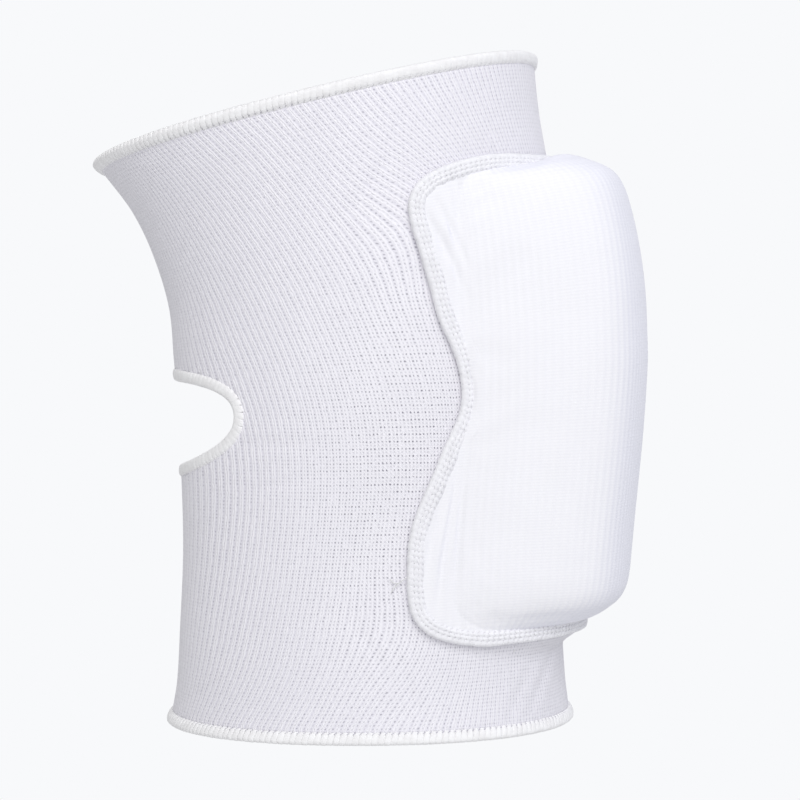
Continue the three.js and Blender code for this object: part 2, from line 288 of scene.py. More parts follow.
def sleeve_frame(angle, level):
    """The directions up the sleeve and out of it."""
    step = 0.004
    place = np.clip(level, step, 1 - step)
    up = unit(on_sleeve(angle, place + step) - on_sleeve(angle, place - step))
    around = unit(on_sleeve(angle + step, level) - on_sleeve(angle - step, level))
    return up, unit(np.cross(around, up))


def off_sleeve(angle, level, lift):
    """Points at a distance outside the sleeve's outer face."""
    out = sleeve_frame(angle, level)[1]
    return on_sleeve(angle, level) + out * np.asarray(lift)[..., None]


def level_of(height):
    """Height up the front of the knee as a share of the way up the sleeve."""
    return (height + FRONT_DROP - HEM_WIDTH) / (FRONT_RISE + FRONT_DROP - 2 * HEM_WIDTH)


def back_level_of(height):
    """Height up the back of the knee as a share of the way up the sleeve."""
    return (height + BACK_DROP - HEM_WIDTH) / (BACK_RISE + BACK_DROP - 2 * HEM_WIDTH)


def angle_at(level, distance, start):
    """The angles that distances round the sleeve come to, from its front (0) or back (pi)."""
    steps = 60
    turns = np.linspace(0, math.pi, steps + 1)
    side = np.where(distance < 0, -1.0, 1.0)
    ring = on_sleeve(start + side[:, None] * turns, level[:, None])
    runs = np.linalg.norm(np.diff(ring, axis=1), axis=2)
    gone = np.concatenate([np.zeros((len(runs), 1)), np.cumsum(runs, axis=1)], axis=1)
    i = np.clip((gone <= np.abs(distance)[:, None]).sum(axis=1) - 1, 0, steps - 1)
    row = np.arange(len(level))
    share = (np.abs(distance) - gone[row, i]) / runs[row, i]
    return start + side * (turns[i] + share * math.pi / steps)


def smooth_step(low, high, value):
    t = np.clip((value - low) / (high - low), 0, 1)
    return t * t * (3 - 2 * t)


# %% [markdown]
# ## The pad's place
# The cover is a bow-tie in plan: two wings that are widest near the top and the bottom, and
# narrowest at the kneecap. The foam block under it is a straight block with rounded sides. Where
# the foam ends the cover lies flat on the sleeve, and that crease shows as a straight line.

# %% Sizes and rows of the pad
PAD_RISE, PAD_DROP = 89.5 * MM, 65.5 * MM
WING_SPREAD, BLOCK_SPREAD = 152 * MM, 124 * MM
FOAM = 23.7 * MM
COVER = 2 * MM
LOWER_SEAM_STAND = 7 * MM
EDGE_WIDTH, EDGE_THICKNESS = 4.5 * MM, 2.6 * MM

PAD_ROWS = columns(
    ("rise", "wing", "block", "foam"),
    [
        (0.0, 0.72, 0.74, 0.0),
        (0.01, 0.83, 0.84, 0.4),
        (0.03, 0.93, 0.93, 0.66),
        (0.06, 0.98, 0.98, 0.79),
        (0.1, 0.995, 1.0, 0.84),
        (0.15, 1.0, 1.0, 0.86),
        (0.21, 1.0, 1.0, 0.88),
        (0.27, 0.975, 1.0, 0.9),
        (0.34, 0.923, 1.0, 0.92),
        (0.41, 0.874, 1.0, 0.94),
        (0.47, 0.82, 1.0, 0.96),
        (0.52, 0.803, 1.0, 0.98),
        (0.57, 0.812, 1.0, 1.0),
        (0.63, 0.843, 1.0, 1.0),
        (0.71, 0.906, 1.0, 1.0),
        (0.78, 0.934, 1.0, 0.99),
        (0.84, 0.958, 1.0, 0.97),
        (0.89, 0.978, 0.99, 0.94),
        (0.93, 0.99, 0.97, 0.9),
        (0.96, 0.985, 0.95, 0.83),
        (0.98, 0.95, 0.92, 0.72),
        (0.992, 0.88, 0.86, 0.52),
        (1.0, 0.76, 0.78, 0.0),
    ],
)
BLOCK_PROFILE = columns(
    ("across", "lift"),
    [
        (0.0, 1.0),
        (0.14, 1.01),
        (0.27, 1.035),
        (0.37, 1.03),
        (0.44, 0.965),
        (0.5, 0.86),
        (0.6, 0.62),
        (0.72, 0.38),
        (0.86, 0.16),
        (1.0, 0.0),
    ],
)


def pad_place(rise, across):
    """Distance round and height of a place that is 0 mid-pad, 1 at the crease and 2 at the border."""
    low = EDGE_WIDTH + SEAM_GAP - PAD_DROP
    high = PAD_RISE - EDGE_WIDTH - SEAM_GAP
    wing = along(PAD_ROWS, "wing", rise) * (WING_SPREAD / 2 - EDGE_WIDTH - SEAM_GAP)
    crease = np.minimum(along(PAD_ROWS, "block", rise) * BLOCK_SPREAD / 2, wing - 2 * MM)
    size = np.abs(across)
    distance = np.where(size <= 1, size * crease, crease + (size - 1) * (wing - crease))
    return np.sign(across) * distance, low + (high - low) * rise


def seam_stand(distance, height):
    """How far the seam stands off the sleeve: only in the middle of the lower edge."""
    side = np.minimum(np.abs(distance) / (BLOCK_SPREAD / 2), 1)
    rise = np.clip((height + PAD_DROP) / (PAD_DROP / 3), 0, 1)
    return LOWER_SEAM_STAND * (1 - side**2) ** 2 * (1 - rise) ** 2


def new_piece(name, points, faces):
    """A smooth mesh object from arrays of points and four-cornered faces."""
    mesh = bpy.data.meshes.new(name)
    mesh.from_pydata(np.asarray(points).tolist(), [], [list(face) for face in faces])
    mesh.shade_smooth()
    made = bpy.data.objects.new(name, mesh)
    bpy.context.scene.collection.objects.link(made)
    return made


def give_uv(piece, places):
    """Writes a UV map from one place for each corner of each face."""
    layer = piece.data.uv_layers.new(name="cloth")
    layer.data.foreach_set("uv", np.asarray(places, dtype=np.float32).ravel())


def count_triangles(piece):
    return sum(len(face.vertices) - 2 for face in piece.data.polygons)


# %% [markdown]
# ## The sleeve
# A plain tube of knit, about a millimetre and a half thick. A fine grid round the leg gives the
# wall its shape, and its folds are added as soft valleys: the cloth is drawn in where the pad's
# corners are sewn down, and lifted where the lower seam stands off the leg. Subdividing the CAD
# solid would be quicker, but it has no map of the cloth, and the knit must follow the cloth.
# So each point also knows which column of stitches it is in and how far up that column it is, and
# how far the knit is stretched open there. It is most open beside the pad's narrow waist.

# %% How the cloth is drawn
WALES = 200  # pairs of stitch columns round the tube
COURSES = 174  # rows of stitches from hem to hem
ROW_TILT = 0.09  # how much less the rows of stitches at the knee slope than the hems
# Share of the way round the leg from its front, and share of the columns that lie before it
CROWDING = columns(
    ("turn", "knee", "thigh"),
    [
        (0, 0, 0),
        (0.28, 0.395, 0.34),
        (0.5, 0.565, 0.55),
        (0.61, 0.655, 0.65),
        (0.75, 0.775, 0.775),
        (1, 1, 1),
    ],
)
DRIFT = columns(
    ("level", "drift"),
    [
        (0.0, 1 * MM),
        (0.1, 9 * MM),
        (0.2, 13 * MM),
        (0.3, 15.5 * MM),
        (0.4, 17 * MM),
        (0.5, 16 * MM),
        (0.6, 11.8 * MM),
        (0.7, 6 * MM),
        (0.8, 0 * MM),
        (0.9, -6.3 * MM),
        (1.0, -13 * MM),
    ],
)
# Where a corner of the pad draws the cloth in: distance round, height, size of the pull, reach
PULLS = (
    (66 * MM, 75 * MM, 9 * MM, 22 * MM),
    (73 * MM, -60 * MM, 5 * MM, 18 * MM),
)
# Soft folds: distance round, height, direction in degrees, half length, half width, depth
FOLDS = (
    (82 * MM, 92 * MM, 125, 17 * MM, 2.6 * MM, 0.55 * MM),
    (76 * MM, 97 * MM, 112, 15 * MM, 2.4 * MM, 0.45 * MM),
    (90 * MM, 84 * MM, 142, 17 * MM, 2.8 * MM, 0.5 * MM),
    (84 * MM, -68 * MM, 60, 13 * MM, 2.4 * MM, 0.5 * MM),
    (76 * MM, -76 * MM, 72, 12 * MM, 2.6 * MM, 0.5 * MM),
    (62 * MM, -80 * MM, 100, 11 * MM, 3 * MM, 0.5 * MM),
    (26 * MM, -78 * MM, 132, 13 * MM, 3 * MM, 0.8 * MM),
    (40 * MM, -84 * MM, 128, 12 * MM, 3 * MM, 0.5 * MM),
    (120 * MM, 8 * MM, 8, 15 * MM, 3 * MM, 0.5 * MM),
    (118 * MM, -6 * MM, 172, 14 * MM, 3 * MM, 0.4 * MM),
)


def cloth_drift(angle, level, distance, height):
    """How far the columns of stitches are drawn towards the pad."""
    turned = np.abs(angle)
    ahead = smooth_step(0, math.radians(85), turned) * smooth_step(math.pi, math.radians(115), turned)
    behind = smooth_step(math.radians(50), math.radians(120), turned)
    drawn = along(DRIFT, "drift", np.clip(level, 0, 1)) * ahead * (0.7 + 0.3 * behind)
    for at, rise, size, near in PULLS:
        far = ((np.abs(distance) - at) ** 2 + (height - rise) ** 2) / near**2
        drawn = drawn + size * np.exp(-far)
    return drawn


def fold_relief(distance, height, folds):
    """How far folds lift the cloth: a valley in the middle of each and a soft ridge beside it."""
    lift = np.zeros_like(distance)
    for at, rise, turn, half_length, half_width, depth in folds:
        right, above = np.abs(distance) - at, height - rise
        cos, sin = math.cos(math.radians(turn)), math.sin(math.radians(turn))
        run = (right * cos + above * sin) / half_length
        side = (above * cos - right * sin) / half_width
        lift = lift + depth * (side**2 - 0.5) * np.exp(-side**2 - run**2)
    return lift


def sleeve_relief(distance, height):
    """The sleeve's folds, and its rise to the seam that stands off the leg."""
    foot = smooth_step(-PAD_DROP - 5 * MM, -PAD_DROP + 1 * MM, height)
    raised = foot * (seam_stand(distance, height) - 0.3 * MM).clip(0)
    return fold_relief(distance, height, FOLDS) + raised


# %% The sleeve's wall
SLEEVE_AROUND = 336
SLEEVE_UP = 124
TUCKED = 0.006  # how far the knit runs into each hem, as a share of the way up
HOLE_WIDTH, HOLE_HEIGHT = 102 * MM, 27.5 * MM
HOLE_FULLNESS = 0.88
HOLE_RISE = 1.2 * MM
CUT_FULLNESS = 2.25  # the power that makes the cut in the knit a little fuller than an ellipse
BINDING_WIDTH, BINDING_THICKNESS = 4.4 * MM, 3.2 * MM


def hole_line(margin, steps):
    """The hole's outline on the flattened back, grown by a margin: distance round and height."""
    turn = np.arange(steps) / steps * 2 * math.pi
    rise = np.sign(np.sin(turn)) * np.abs(np.sin(turn)) ** HOLE_FULLNESS
    oval = np.stack([HOLE_WIDTH / 2 * np.cos(turn), HOLE_HEIGHT / 2 * rise], axis=1)
    ahead = unit(np.roll(oval, -1, axis=0) - np.roll(oval, 1, axis=0))
    return oval + margin * np.stack([ahead[:, 1], -ahead[:, 0]], axis=1)


def on_back(places):
    """Angles and levels of places on the flattened back."""
    level = back_level_of(HOLE_RISE + places[:, 1])
    return angle_at(level, -places[:, 0], math.pi), level


turns = np.arange(SLEEVE_AROUND) / SLEEVE_AROUND * 2 * math.pi - math.pi
levels = np.linspace(-TUCKED, 1 + TUCKED, SLEEVE_UP + 1)
angle, level = np.meshgrid(turns, levels, indexing="ij")
smooth = on_sleeve(angle, level)
around = np.linalg.norm(np.roll(smooth, -1, axis=0) - smooth, axis=2)
gone = np.concatenate([np.zeros((1, SLEEVE_UP + 1)), np.cumsum(around, axis=0)])
whole = gone[-1]
from_front = gone[:-1] - whole / 2
height = level * (FRONT_RISE + FRONT_DROP - 2 * HEM_WIDTH) + HEM_WIDTH - FRONT_DROP
drawn = cloth_drift(angle, level, from_front, height)
turned = np.minimum(np.abs(from_front) / whole * 2, 1)
knee_share = smooth_step(1, 0.5, level)
crowded = along(CROWDING, "thigh", turned) * (1 - knee_share)
crowded = crowded + along(CROWDING, "knee", turned) * knee_share
wale = np.sign(angle) * (crowded / 2 + drawn / (CALF_DEPTH * math.pi)) * WALES
outer = off_sleeve(angle, level, sleeve_relief(from_front, height))

# What lies inside the middle of the binding is cut away, so the binding hides the cut
from_back = np.where(from_front < 0, from_front + whole / 2, from_front - whole / 2)
back_height = level / (back_level_of(1.0) - back_level_of(0.0)) + HEM_WIDTH - BACK_DROP - HOLE_RISE
spot = np.stack([-from_back, back_height], axis=-1)
near_hole = (np.abs(from_back) < HOLE_WIDTH * 0.6) & (np.abs(back_height) < HOLE_HEIGHT)
inside = np.zeros(angle.shape, dtype=bool)
cut_size = np.array([HOLE_WIDTH, HOLE_HEIGHT]) / 2 + BINDING_WIDTH / 2
inside[near_hole] = ((np.abs(spot[near_hole]) / cut_size) ** CUT_FULLNESS).sum(axis=1) < 1
number = np.arange(angle.size).reshape(angle.shape)
after = np.roll(number, -1, axis=0)
corners = np.stack([number[:, :-1], after[:, :-1], after[:, 1:], number[:, 1:]], axis=-1)
cut = inside.ravel()[corners].any(axis=-1)
corners = corners[~cut]
sleeve = new_piece("sleeve_knit", outer.reshape(-1, 3), corners.reshape(-1, 4))

wale_after = np.roll(wale, -1, axis=0)
wale_after[-1] += WALES
course = level * (1 + ROW_TILT * np.cos(angle) * smooth_step(1, 0.45, level)) * COURSES
columns_of = np.stack([wale[:, :-1], wale_after[:, :-1], wale_after[:, 1:], wale[:, 1:]], axis=-1)
rows_of = np.stack([course[:, :-1], course[:, :-1], course[:, 1:], course[:, 1:]], axis=-1)
give_uv(sleeve, np.stack([columns_of[~cut], rows_of[~cut]], axis=-1))

# The knit is stretched open most beside the pad's waist, and closes behind, above and below
WAIST_HEIGHT = -4 * MM
OPEN_BELOW, OPEN_ABOVE = 68 * MM, 62 * MM
OPEN_AHEAD, CLOSED_BEHIND = 80 * MM, 130 * MM
open_side = smooth_step(CLOSED_BEHIND, OPEN_AHEAD, np.abs(from_front))
open_reach = np.where(height < 0, OPEN_BELOW, OPEN_ABOVE)
stretch = open_side * np.exp(-((height - WAIST_HEIGHT) / open_reach) ** 2)
attribute = sleeve.data.attributes.new("stretch", "FLOAT", "POINT")
attribute.data.foreach_set("value", stretch.astype(np.float32).ravel())


def finish_mesh(piece):
    """Turns the piece with its modifiers into a plain mesh."""
    graph = bpy.context.evaluated_depsgraph_get()
    baked = bpy.data.meshes.new_from_object(piece.evaluated_get(graph))
    piece.modifiers.clear()
    old = piece.data
    piece.data = baked
    baked.name = piece.name
    bpy.data.meshes.remove(old)


def drop_loose_points(piece):
    work = bmesh.new()
    work.from_mesh(piece.data)
    bmesh.ops.delete(work, geom=[v for v in work.verts if not v.link_faces], context="VERTS")
    work.to_mesh(piece.data)
    work.free()


drop_loose_points(sleeve)
thicken = sleeve.modifiers.new("wall", "SOLIDIFY")
thicken.thickness = WALL
thicken.offset = -1
finish_mesh(sleeve)
print("sleeve", count_triangles(sleeve), "triangles")

# %% [markdown]
# ## The pad
# The cover is cut a little larger than the foam and sewn down all round, so it lies tight over the
# block and slack in the wings. A cloth simulation does the same: the cover starts on the foam's
# form, is held at its seam and along the crease, grows a little and is pushed out gently. The
# movement is capped, so that the pad keeps its measured size. The ribs and the folds of the wings
# come last, as real relief, because the simulation's grid is too coarse for them.

# %% The cover before it is pushed out
BLOCK_CELLS = 72  # from mid-pad to the crease
WING_CELLS = 14
PAD_CELLS_UP = 88
RIB_PITCH = 2.7 * MM
RIB_HEIGHT = 0.09 * MM
THREAD_PITCH = 1 * MM  # between the fine lines across the ribs
HIDDEN = 2 * MM  # the cover's edge runs this far under its overlocked seam
SLACK = 0.9 * MM  # the foam starts this much smaller all round, and the push brings it back
TOP_SLACK = 3.4 * SLACK  # and this much shorter at its top, which bulges most
ROW_CROWDING = 0.85  # how much closer the rows of the grid lie at the pad's top and bottom
OVERHANG = 3 * MM  # how far the foam bulges up over its top seam
# Soft folds of the wings: distance round, height, direction in degrees, half length and width, depth
WING_FOLDS = (
    (66 * MM, 66 * MM, 73, 13 * MM, 1.4 * MM, 1.5 * MM),
    (63 * MM, 69 * MM, 73, 11 * MM, 1.2 * MM, 1.0 * MM),
    (61 * MM, -31 * MM, 91, 17 * MM, 1.3 * MM, 1.2 * MM),
    (64.6 * MM, -31 * MM, 95, 17 * MM, 1.3 * MM, 1.2 * MM),
    (68 * MM, -30 * MM, 99, 14 * MM, 1.4 * MM, 0.9 * MM),
)

half = np.concatenate([
    np.arange(BLOCK_CELLS) / BLOCK_CELLS,
    1 + np.arange(WING_CELLS + 1) / WING_CELLS,
])
across_line = np.concatenate([-half[:0:-1], half])
even = np.arange(PAD_CELLS_UP + 1) / PAD_CELLS_UP
rise_line = even - ROW_CROWDING * np.sin(2 * math.pi * even) / (2 * math.pi)


def foam_side(rise, distance):
    """How far out on the foam a place is: 0 in its middle and 1 at its straight rear crease."""
    return np.minimum(np.abs(distance) / (along(PAD_ROWS, "block", rise) * BLOCK_SPREAD / 2), 1)


def pad_surface(rise, across, thickness_share):
    """Points of the pad's front (share 1) or back (share 0)."""
    distance, height = pad_place(rise, across)
    distance = distance + np.sign(across) * HIDDEN * smooth_step(1.3, 2, np.abs(across))
    height = height + HIDDEN * (smooth_step(0.97, 1, rise) - smooth_step(0.03, 0, rise))
    side = foam_side(rise, distance)
    less = np.where(rise > 0.5, TOP_SLACK, SLACK) / (PAD_RISE + PAD_DROP)
    shorter = np.clip(0.5 + (rise - 0.5) * (1 + less), 0, 1)
    foam = (FOAM - SLACK) * along(PAD_ROWS, "foam", shorter) * along(BLOCK_PROFILE, "lift", side)
    foam = foam * smooth_step(2, 1.7, np.abs(across))
    bulge = smooth_step(1 * MM, 4 * MM, foam) * smooth_step(15 * MM, 4 * MM, foam)
    bulge = bulge * smooth_step(0.7, 0.3, side) * (rise > 0.5)
    height = height + OVERHANG * bulge * thickness_share
    thick = COVER + np.maximum(foam, seam_stand(distance, height))
    level = level_of(height)
    angle = angle_at(level, distance, 0)
    return off_sleeve(angle, level, LAY_GAP + thick * thickness_share)


rise, across = np.meshgrid(rise_line, across_line, indexing="ij")
front = pad_surface(rise.ravel(), across.ravel(), 1.0)
rows_up, columns_across = rise.shape
number = np.arange(rise.size).reshape(rise.shape)
corners = np.stack([number[:-1, :-1], number[:-1, 1:], number[1:, 1:], number[1:, :-1]], axis=-1)
cover = new_piece("pad_cover", front, corners.reshape(-1, 4))

# %% Push the cover out
SIM_FRAMES = 16
MOST_MOVE = 1.2 * MM
COVER_GROWTH = 0.001
PUSH = 1.6


def push_out(piece, pins):
    """Cloth simulation of a cover that is held at its pins and pushed out from inside."""
    before = np.array([point.co for point in piece.data.vertices])
    group = piece.vertex_groups.new(name="held")
    for step in range(1, 11):
        chosen = np.nonzero(np.round(pins * 10).astype(int) == step)[0]
        if len(chosen):
            group.add(chosen.tolist(), step / 10, "REPLACE")
    cloth = piece.modifiers.new("cloth", "CLOTH")
    settings = cloth.settings
    settings.quality = 4
    settings.mass = 0.1
    settings.tension_stiffness = settings.compression_stiffness = 12
    settings.shear_stiffness = 6
    settings.bending_stiffness = 1
    settings.use_pressure = True
    settings.uniform_pressure_force = PUSH
    settings.vertex_group_mass = "held"
    settings.pin_stiffness = 2
    settings.shrink_min = -COVER_GROWTH
    settings.effector_weights.gravity = 0
    cloth.collision_settings.use_collision = False
    cloth.point_cache.frame_start = 1
    cloth.point_cache.frame_end = SIM_FRAMES
    for number in range(1, SIM_FRAMES + 1):
        bpy.context.scene.frame_set(number)
    graph = bpy.context.evaluated_depsgraph_get()
    moved = np.array([point.co for point in piece.evaluated_get(graph).data.vertices])
    piece.modifiers.remove(cloth)
    piece.vertex_groups.clear()
    bpy.context.scene.frame_set(1)
    move = moved - before
    size = np.linalg.norm(move, axis=1, keepdims=True)
    share = MOST_MOVE / np.maximum(size, MOST_MOVE)
    print("cover moved", round(float(size.mean() / MM), 2), "mm, most", round(float(size.max() / MM), 2))
    piece.data.vertices.foreach_set("co", (before + move * share).ravel())


to_border = np.minimum.reduce([
    (2 - np.abs(across)) * 14 * MM,
    rise * (PAD_RISE + PAD_DROP),
    (1 - rise) * (PAD_RISE + PAD_DROP),
])
held = 1 - smooth_step(0.4 * MM, 2.4 * MM, to_border)
crease_hold = 0.5 * np.exp(-((foam_side(rise, pad_place(rise, across)[0]) - 1) / 0.03) ** 2)
pins = np.maximum(held, crease_hold).ravel()
push_out(cover, pins)

# %% Ribs and the back of the pad
finer = cover.modifiers.new("finer", "SUBSURF")
finer.levels = finer.render_levels = 1
finer.boundary_smooth = "PRESERVE_CORNERS"

# The ribs run straight up the block, spaced as the cloth lies over its fullest row
full = np.argmin(np.abs(rise_line - 0.6))
distance = pad_place(rise, across)[0]
fullest = front.reshape(rows_up, columns_across, 3)[full]
over_foam = np.concatenate([[0], np.cumsum(np.linalg.norm(np.diff(fullest, axis=0), axis=1))])
over_foam = over_foam - over_foam[-1] / 2
rib_columns = np.interp(distance, distance[full], over_foam) / RIB_PITCH
beyond = np.abs(distance) - distance[full, -1]
rib_columns = rib_columns + np.sign(distance) * np.maximum(beyond, 0) / RIB_PITCH
up_cloth = (rise - 0.5) * (PAD_RISE + PAD_DROP) / THREAD_PITCH
place = np.stack([rib_columns, up_cloth], axis=-1).reshape(-1, 2)
give_uv(cover, place[corners.reshape(-1)])
folds = fold_relief(*pad_place(rise, across), WING_FOLDS) * smooth_step(2, 1.6, np.abs(across))
for name, values in (("rib", rib_columns), ("fold", folds)):
    mark = cover.data.attributes.new(name, "FLOAT", "POINT")
    mark.data.foreach_set("value", values.ravel().astype(np.float32))
finish_mesh(cover)

mesh = cover.data
points = np.empty(len(mesh.vertices) * 3)
mesh.vertices.foreach_get("co", points)
points = points.reshape(-1, 3)
normals = np.empty(len(mesh.vertices) * 3)
mesh.vertices.foreach_get("normal", normals)
marks = {}
for name in ("rib", "fold"):
    marks[name] = np.empty(len(mesh.vertices))
    mesh.attributes[name].data.foreach_get("value", marks[name])
    mesh.attributes.remove(mesh.attributes[name])
lift = RIB_HEIGHT * np.cos(2 * math.pi * marks["rib"]) + marks["fold"]
points = points + normals.reshape(-1, 3) * lift[:, None]
mesh.vertices.foreach_set("co", points.ravel())


def close_back(piece):
    """Closes the cover behind with a coarser sheet that lies just off the sleeve."""
    back_rise = rise_line[::4]
    back_across = across_line[::4]
    grid_rise, grid_across = np.meshgrid(back_rise, back_across, indexing="ij")
    inner = pad_surface(
        (0.5 + (grid_rise - 0.5) * 0.985).ravel(), (grid_across * 0.985).ravel(), 0.0
    )
    work = bmesh.new()
    work.from_mesh(piece.data)
    rim_edges = [edge for edge in work.edges if edge.is_boundary]
    sheet = [work.verts.new(point) for point in inner]
    wide = len(back_across)
    faces = []
    for i in range(len(back_rise) - 1):
        for j in range(wide - 1):
            a = i * wide + j
            faces.append(work.faces.new((sheet[a], sheet[a + wide], sheet[a + wide + 1], sheet[a + 1])))
    loop = rim_edges + [edge for face in faces for edge in face.edges if edge.is_boundary]
    bmesh.ops.bridge_loops(work, edges=list(set(loop)))
    for face in work.faces:
        face.smooth = True
    bmesh.ops.recalc_face_normals(work, faces=work.faces)
    work.to_mesh(piece.data)
    work.free()


close_back(cover)
print("pad cover", count_triangles(cover), "triangles")

# %% [markdown]
# ## Overlocked edges
# Each raw edge is folded in and wrapped by an overlock machine: a thick yarn goes over the edge at
# every stitch, and a thin needle thread ties the yarns down in a row of small pinched holes. The
# body of an edge is a ring of rounded sections. Modelling some 850 stitches by hand is hopeless,
# and a bump map would leave the edge's outline smooth, so Geometry Nodes set one modelled stitch
# along each edge, turned to the cloth.

# %% The bodies of the edges
HEM_THICKNESS = 2.8 * MM
HEM_FLARE = math.radians(16)
BAND_SIDES = 14
YARN_DEPTH = 0.3 * MM  # how thick the yarn lies on an edge
SEAM_LAP = 1 * MM  # how far the pad's seam laps over the cover
SEAM_DIP = 2 * MM  # how far the seam is pulled down in the middle of the pad's top
SQUARENESS = 0.7  # 1 makes an edge's section an ellipse, and less makes it squarer


def edge_section(turn, width, thickness):
    """Places on the rounded section of an edge: away from the cloth, and out of it."""
    away = np.sign(np.cos(turn)) * np.abs(np.cos(turn)) ** SQUARENESS * width / 2
    out = np.sign(np.sin(turn)) * np.abs(np.sin(turn)) ** SQUARENESS * thickness / 2
    return away, out


def band(name, middle, flat, through, width, thickness):
    """A closed band with a rounded section. flat and through are its two directions."""
    away, out = edge_section(np.arange(BAND_SIDES) / BAND_SIDES * 2 * math.pi, width, thickness)
    points = middle[:, None] + flat[:, None] * away[:, None] + through[:, None] * out[:, None]
    count = len(middle)
    number = np.arange(count * BAND_SIDES).reshape(count, BAND_SIDES)
    after, beside = np.roll(number, -1, axis=0), np.roll(number, -1, axis=1)
    faces = np.stack([number, beside, np.roll(after, -1, axis=1), after], axis=-1)
    made = new_piece(name, points.reshape(-1, 3), faces.reshape(-1, 4))
    # The outer half of the body is marked for painted shade, which shows in the gaps between the yarns
    shaded = made.data.attributes.new("gap", "FLOAT", "POINT")
    shaded.data.foreach_set("value", np.tile((out > 0).astype(np.float32), count))
    return made


def hem_line(level, side, steps):
    """The middle of a hem, its direction away from the sleeve and its direction through."""
    angle = np.arange(steps) / steps * 2 * math.pi
    up, out = sleeve_frame(angle, np.full(steps, float(level)))
    away = up * side * math.cos(HEM_FLARE) + out * math.sin(HEM_FLARE)
    through = out * math.cos(HEM_FLARE) - up * side * math.sin(HEM_FLARE)
    middle = off_sleeve(angle, np.full(steps, float(level)), np.full(steps, -WALL / 2))
    shift = HEM_WIDTH / 2 + HEM_THICKNESS / 2 * math.sin(HEM_FLARE)
    return middle + away * shift, away, through


def binding_line(steps):
    """The middle of the hole's binding, its direction away from the hole's cloth, and through."""
    near_angle, near_level = on_back(hole_line(0, steps))
    far_angle, far_level = on_back(hole_line(BINDING_WIDTH, steps))
    inner = off_sleeve(near_angle, near_level, np.full(steps, -WALL / 2))
    outer = off_sleeve(far_angle, far_level, np.full(steps, -WALL / 2))
    out = sleeve_frame(far_angle, far_level)[1]
    return (inner + outer) / 2, unit(inner - outer), out


def pad_border(samples):
    """The pad's border in its flat pattern, as evenly spaced places outside the cover's edge."""
    up = np.linspace(0, 1, samples)
    low_side, high_side = np.zeros(samples), np.ones(samples)
    wide = np.linspace(-2, 2, samples)
    legs = [
        pad_place(low_side, wide),
        pad_place(up, np.full(samples, 2.0)),
        pad_place(high_side, -wide),
        pad_place(up[::-1], np.full(samples, -2.0)),
    ]
    flat = np.concatenate([np.stack(leg, axis=1)[:-1] for leg in legs])
    ahead = unit(np.roll(flat, -1, axis=0) - np.roll(flat, 1, axis=0))
    away = SEAM_GAP + EDGE_WIDTH / 2 - SEAM_LAP / 2
    return flat + np.stack([ahead[:, 1], -ahead[:, 0]], axis=1) * away


def even_steps(line, steps):
    """Points at even steps round a closed line."""
    closed = np.concatenate([line, line[:1]])
    gone = np.concatenate([[0], np.cumsum(np.linalg.norm(np.diff(closed, axis=0), axis=1))])
    at = np.arange(steps) / steps * gone[-1]
    return np.stack([np.interp(at, gone, closed[:, k]) for k in range(line.shape[1])], axis=1)


def pad_seam_line(steps):
    """The middle of the pad's seam, its direction away from the pad, and through."""
    flat = even_steps(pad_border(160), steps)
    for _ in range(3):
        flat = (np.roll(flat, 1, axis=0) + 2 * flat + np.roll(flat, -1, axis=0)) / 4
    middle_share = smooth_step(48 * MM, 20 * MM, np.abs(flat[:, 0]))
    flat[:, 1] -= SEAM_DIP * middle_share * (flat[:, 1] > 0)
    level = level_of(flat[:, 1])
    angle = angle_at(level, flat[:, 0], 0)
    lift = (LAY_GAP + EDGE_THICKNESS) / 2 + seam_stand(flat[:, 0], flat[:, 1])
    middle = off_sleeve(angle, level, lift)
    out = sleeve_frame(angle, level)[1]
    ahead = unit(np.roll(middle, -1, axis=0) - np.roll(middle, 1, axis=0))
    return middle, unit(np.cross(ahead, out)), out


def turned_to_path(middle, flat, through):
    """The line in the order that makes its band's faces point outwards."""
    ahead = np.roll(middle, -1, axis=0) - middle
    turn = (np.cross(flat, through) * ahead).sum()
    if turn > 0:
        return middle[::-1], flat[::-1], through[::-1]
    return middle, flat, through


EDGES = {
    "thigh_hem": (hem_line(1, 1, 300), HEM_WIDTH, HEM_THICKNESS, "top_hem"),
    "calf_hem": (hem_line(0, -1, 280), HEM_WIDTH, HEM_THICKNESS, "bottom_hem"),
    "hollow_binding": (binding_line(200), BINDING_WIDTH, BINDING_THICKNESS, "hole_binding"),
    "pad_seam": (pad_seam_line(420), EDGE_WIDTH + SEAM_LAP, EDGE_THICKNESS + LAY_GAP, "pad_edge"),
}
edge_bodies = {}
for name, (line, width, thickness, node) in EDGES.items():
    line = turned_to_path(*line)
    body = band(name, *line, width - 2 * YARN_DEPTH, thickness - 2 * YARN_DEPTH)
    edge_bodies[name] = (body, line)
    print(name, count_triangles(body), "triangles")

# %% [markdown]
# ## One stitch
# The yarn of a stitch is thin where the needle pinches it, fattens over the face of the edge,
# turns round the outside and comes back behind. It is a flattened tube of six or seven dozen faces
# that lies on the edge's body and follows its section. Where it is pinched, the edge's body shows as
# a row of small holes, its face painted darker as shade.

# %% The stitch's mesh
YARN_SIDES = 6
SLANT = 0.22  # how far a stitch leans along the edge, as a share of the pitch
SWELL = 0.06  # how much fatter the yarn is at the outside than at the cloth, as a share of the pitch
PINCH_REACH = 0.11  # how far the needle's pull reaches, as a share of the edge's half width
SINK = 0.5  # how deep the needle pulls the yarn in, as a share of its thickness
BACK_TURNS = (0, -55, -110, -160)  # degrees round the section where the rings behind the edge lie


